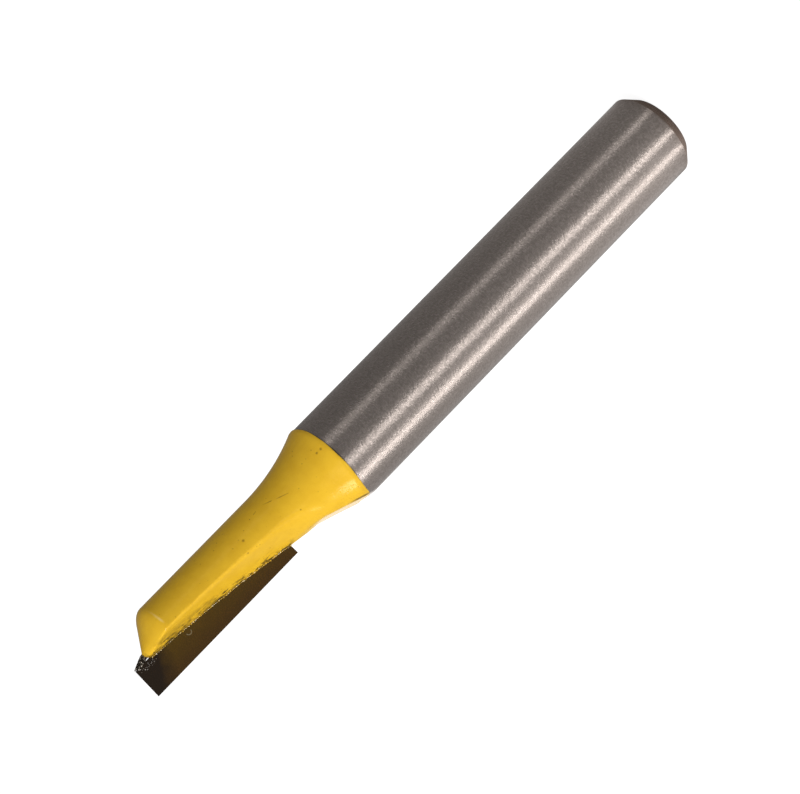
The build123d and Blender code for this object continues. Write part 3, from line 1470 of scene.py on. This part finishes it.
@dataclass(frozen=True)
class Studio:
    """Camera, lamps, floor and world of the photograph. Sizes in millimetres.

    Shiny surfaces see a dim room whose level goes round the object in stops, from the back over +X, the front
    (0.5) and -X to the back again, and bright streaks on the floor, each a direction and a half width in
    degrees and a strength.
    """

    aim: Place = (-0.178, 0.0, 25.937)
    distance: float = 238.133
    elevation: float = math.radians(19.179)
    roll: float = math.radians(-135.768)
    lens: float = 168.75
    sensor: float = 36.0
    floor_half: float = 1500.0
    floor_height: float = -0.05
    ambient: float = 0.41
    cloth: Colour = (0.35, 0.35, 0.35)
    underside: Colour = (0.95, 0.78, 0.68)
    underside_reach: float = 3.6
    bar_reach: float = 1.6
    near_reach: float = 95.0
    near_gain: float = 0.75
    least_away: float = 5.0
    contact_reach: float = 20.0
    pale_side: float = 168
    pale_half_width: float = 14
    pale_start: float = 100.0
    room: tuple[tuple[float, float], ...] = (
        (0.0, 0.25),
        (0.12, 0.15),
        (0.264, 0.125),
        (0.333, 0.145),
        (0.431, 0.17),
        (0.48, 0.18),
        (0.53, 0.24),
        (0.63, 0.34),
        (0.72, 0.40),
        (0.83, 0.32),
        (0.9, 0.38),
        (1.0, 0.25),
    )
    streaks: tuple[tuple[float, float, float], ...] = ((28.5, 5, 2.0), (74, 5, 1.62), (-43, 4, 0.75))
    lamps: tuple[Lamp, ...] = (
        Lamp("strip_side", side=74, height=116, away=260, size=(110, 58), power=0.23),
        Lamp("key", side=32, height=300, away=420, size=(300, 300), power=1.8, mirrored=False),
    )

    def camera(self) -> None:
        """Sets the camera that the photograph was fitted with."""
        view = Vector((0.0, -math.cos(self.elevation), math.sin(self.elevation)))
        right = Vector((1.0, 0.0, 0.0))
        up = view.cross(right)
        across = right * math.cos(self.roll) + up * math.sin(self.roll)
        upward = up * math.cos(self.roll) - right * math.sin(self.roll)
        data = bpy.data.cameras.new("camera")
        data.lens = self.lens
        data.sensor_width = self.sensor
        data.clip_start = 0.01
        data.clip_end = 10.0
        camera = bpy.data.objects.new("camera", data)
        place = (Vector(self.aim) + view * self.distance) * MM
        camera.matrix_world = Matrix.Translation(place) @ Matrix((across, upward, view)).transposed().to_4x4()
        bpy.context.scene.collection.objects.link(camera)
        bpy.context.scene.camera = camera

    def mirrored(self, shader: Shader, point: Value, spread: Value | float = 1.0) -> tuple[Value, Value]:
        """What shiny surfaces see of the room in a direction or at a place round the object.

        Args:
            shader: the tree that takes the nodes.
            point: the direction or the place.
            spread: widens the angles, for places so near that the bar's own width counts.

        Returns:
            The room's level there, and its direction as a share of a turn, with the front at 0.5.
        """
        x, y, _ = shader.parts(point)
        share = shader.maths("ARCTAN2", x * -1.0, y * -1.0) / (2 * math.pi) * spread + 0.5
        return shader.ramp(share, *self.room), share

    def streak(self, shader: Shader, share: Value, side: float, half_width: float) -> Value:
        """A bright streak across the room's level.

        Args:
            shader: the tree that takes the nodes.
            share: the direction seen, as a share of a turn.
            side: the streak's direction in degrees from the front towards -X.
            half_width: half its width in degrees.

        Returns:
            1 in the streak, falling to 0 beside it.
        """
        return shader.near(abs(share - (side / 360 + 0.5)), half_width / 720, half_width / 360)

    def floor_seen(self, shader: Shader) -> Value:
        """What shiny surfaces see of the floor: the dim room, the streaks and the shade under the bit.

        Args:
            shader: the tree that takes the nodes.

        Returns:
            The colour seen.
        """
        point = shader.object_point()
        away = shader.distance(point, (0.0, 0.0, 0.0))
        beyond = shader.maths("MAXIMUM", away, self.least_away)
        level, share = self.mirrored(shader, point, 1.0 / (1.0 - self.bar_reach / beyond))
        level = level * (1.0 + self.near_gain * shader.near(away, 0.0, self.near_reach))
        for side, half_width, strength in self.streaks:
            lit = shader.past(away, self.underside_reach + 0.3, 1.0) * strength
            level = level + self.streak(shader, share, side, half_width) * lit
        level = level * shader.ramp(away / self.contact_reach, (0.12, 0.4), (0.3, 1.0))
        pale = self.streak(shader, share, self.pale_side, self.pale_half_width)
        level = level + pale * shader.past(away, self.pale_start, 25.0)
        tint = shader.mixed(shader.near(away, self.underside_reach, 0.8), (1.0, 1.0, 1.0), self.underside)
        return shader.add("ShaderNodeVectorMath", {"operation": "SCALE"}, tint, Scale=level)

    def floor(self) -> None:
        """Lays the white floor, in which shiny surfaces see the dim room and the streaks."""
        half, z = self.floor_half, self.floor_height
        points = np.array([(-half, -half, z), (half, -half, z), (half, half, z), (-half, half, z)])
        floor = mesh_object("floor", points, [(0, 1, 2, 3)])
        floor.data.transform(Matrix.Scale(MM, 4))
        material = bpy.data.materials.new("white_floor")
        shader = Shader(material)
        white = (shader.ray(Ray.CAMERA) + shader.ray(Ray.CLEAR)).clamped()
        glow = shader.add("ShaderNodeEmission", {}, white * 0.9)
        cloth = shader.add("ShaderNodeBsdfDiffuse", {}, self.cloth)
        plain = shader.add("ShaderNodeAddShader", {}, glow, cloth)
        room = shader.add("ShaderNodeEmission", {}, self.floor_seen(shader))
        shader.surface(shader.add("ShaderNodeMixShader", {}, shader.ray(Ray.SHINY), plain, room))
        floor.data.materials.append(material)

    def world(self) -> None:
        """Sets a plain pale world, white to the camera and dim in reflections."""
        world = bpy.data.worlds.new("studio")
        bpy.context.scene.world = world
        shader = Shader(world)
        seen = (shader.ray(Ray.CAMERA) + shader.ray(Ray.CLEAR)).clamped()
        level, _ = self.mirrored(shader, shader.add("ShaderNodeTexCoord", {}, out="Generated"))
        unseen = self.ambient + (level - self.ambient) * shader.ray(Ray.SHINY)
        glow = shader.add("ShaderNodeBackground", {}, seen + (1.0 - seen) * unseen)
        shader.add("ShaderNodeOutputWorld", {}, glow)

    def build(self) -> None:
        """Sets up the studio."""
        bpy.context.scene.view_settings.view_transform = "Standard"
        self.camera()
        self.floor()
        self.world()
        for lamp in self.lamps:
            lamp.build()


def main() -> None:
    """Builds the bit and its studio."""
    _, bar_high = node_box(Node.BAR)
    blade_low, blade_high = node_box(Node.BLADE)
    coat_low, _ = node_box(Node.COAT)
    form = BarForm(shank_radius=bar_high[0], heel_height=blade_low[2], tip_height=blade_high[2])
    slotting = Slotting(blade_inner=-blade_high[0], blade_back=blade_high[1], heel_height=blade_low[2])
    bar = Bar(form, slotting)
    enamel = Enamel(form, slotting, lip_height=coat_low[2])
    blade = Blade(blade_low, blade_high)
    braze = Braze(form, slotting, blade, enamel.thickness)
    pieces = [
        bar.build(SteelFinish().material()),
        enamel.build(EnamelFinish(form).material(), bar),
        blade.build(CarbideFinish().material()),
        *braze.build(bar),
    ]
    for piece in pieces:
        log.info("%s: %d faces", piece.name, len(piece.data.polygons))
    Studio().build()


if __name__ == "__main__":
    main()
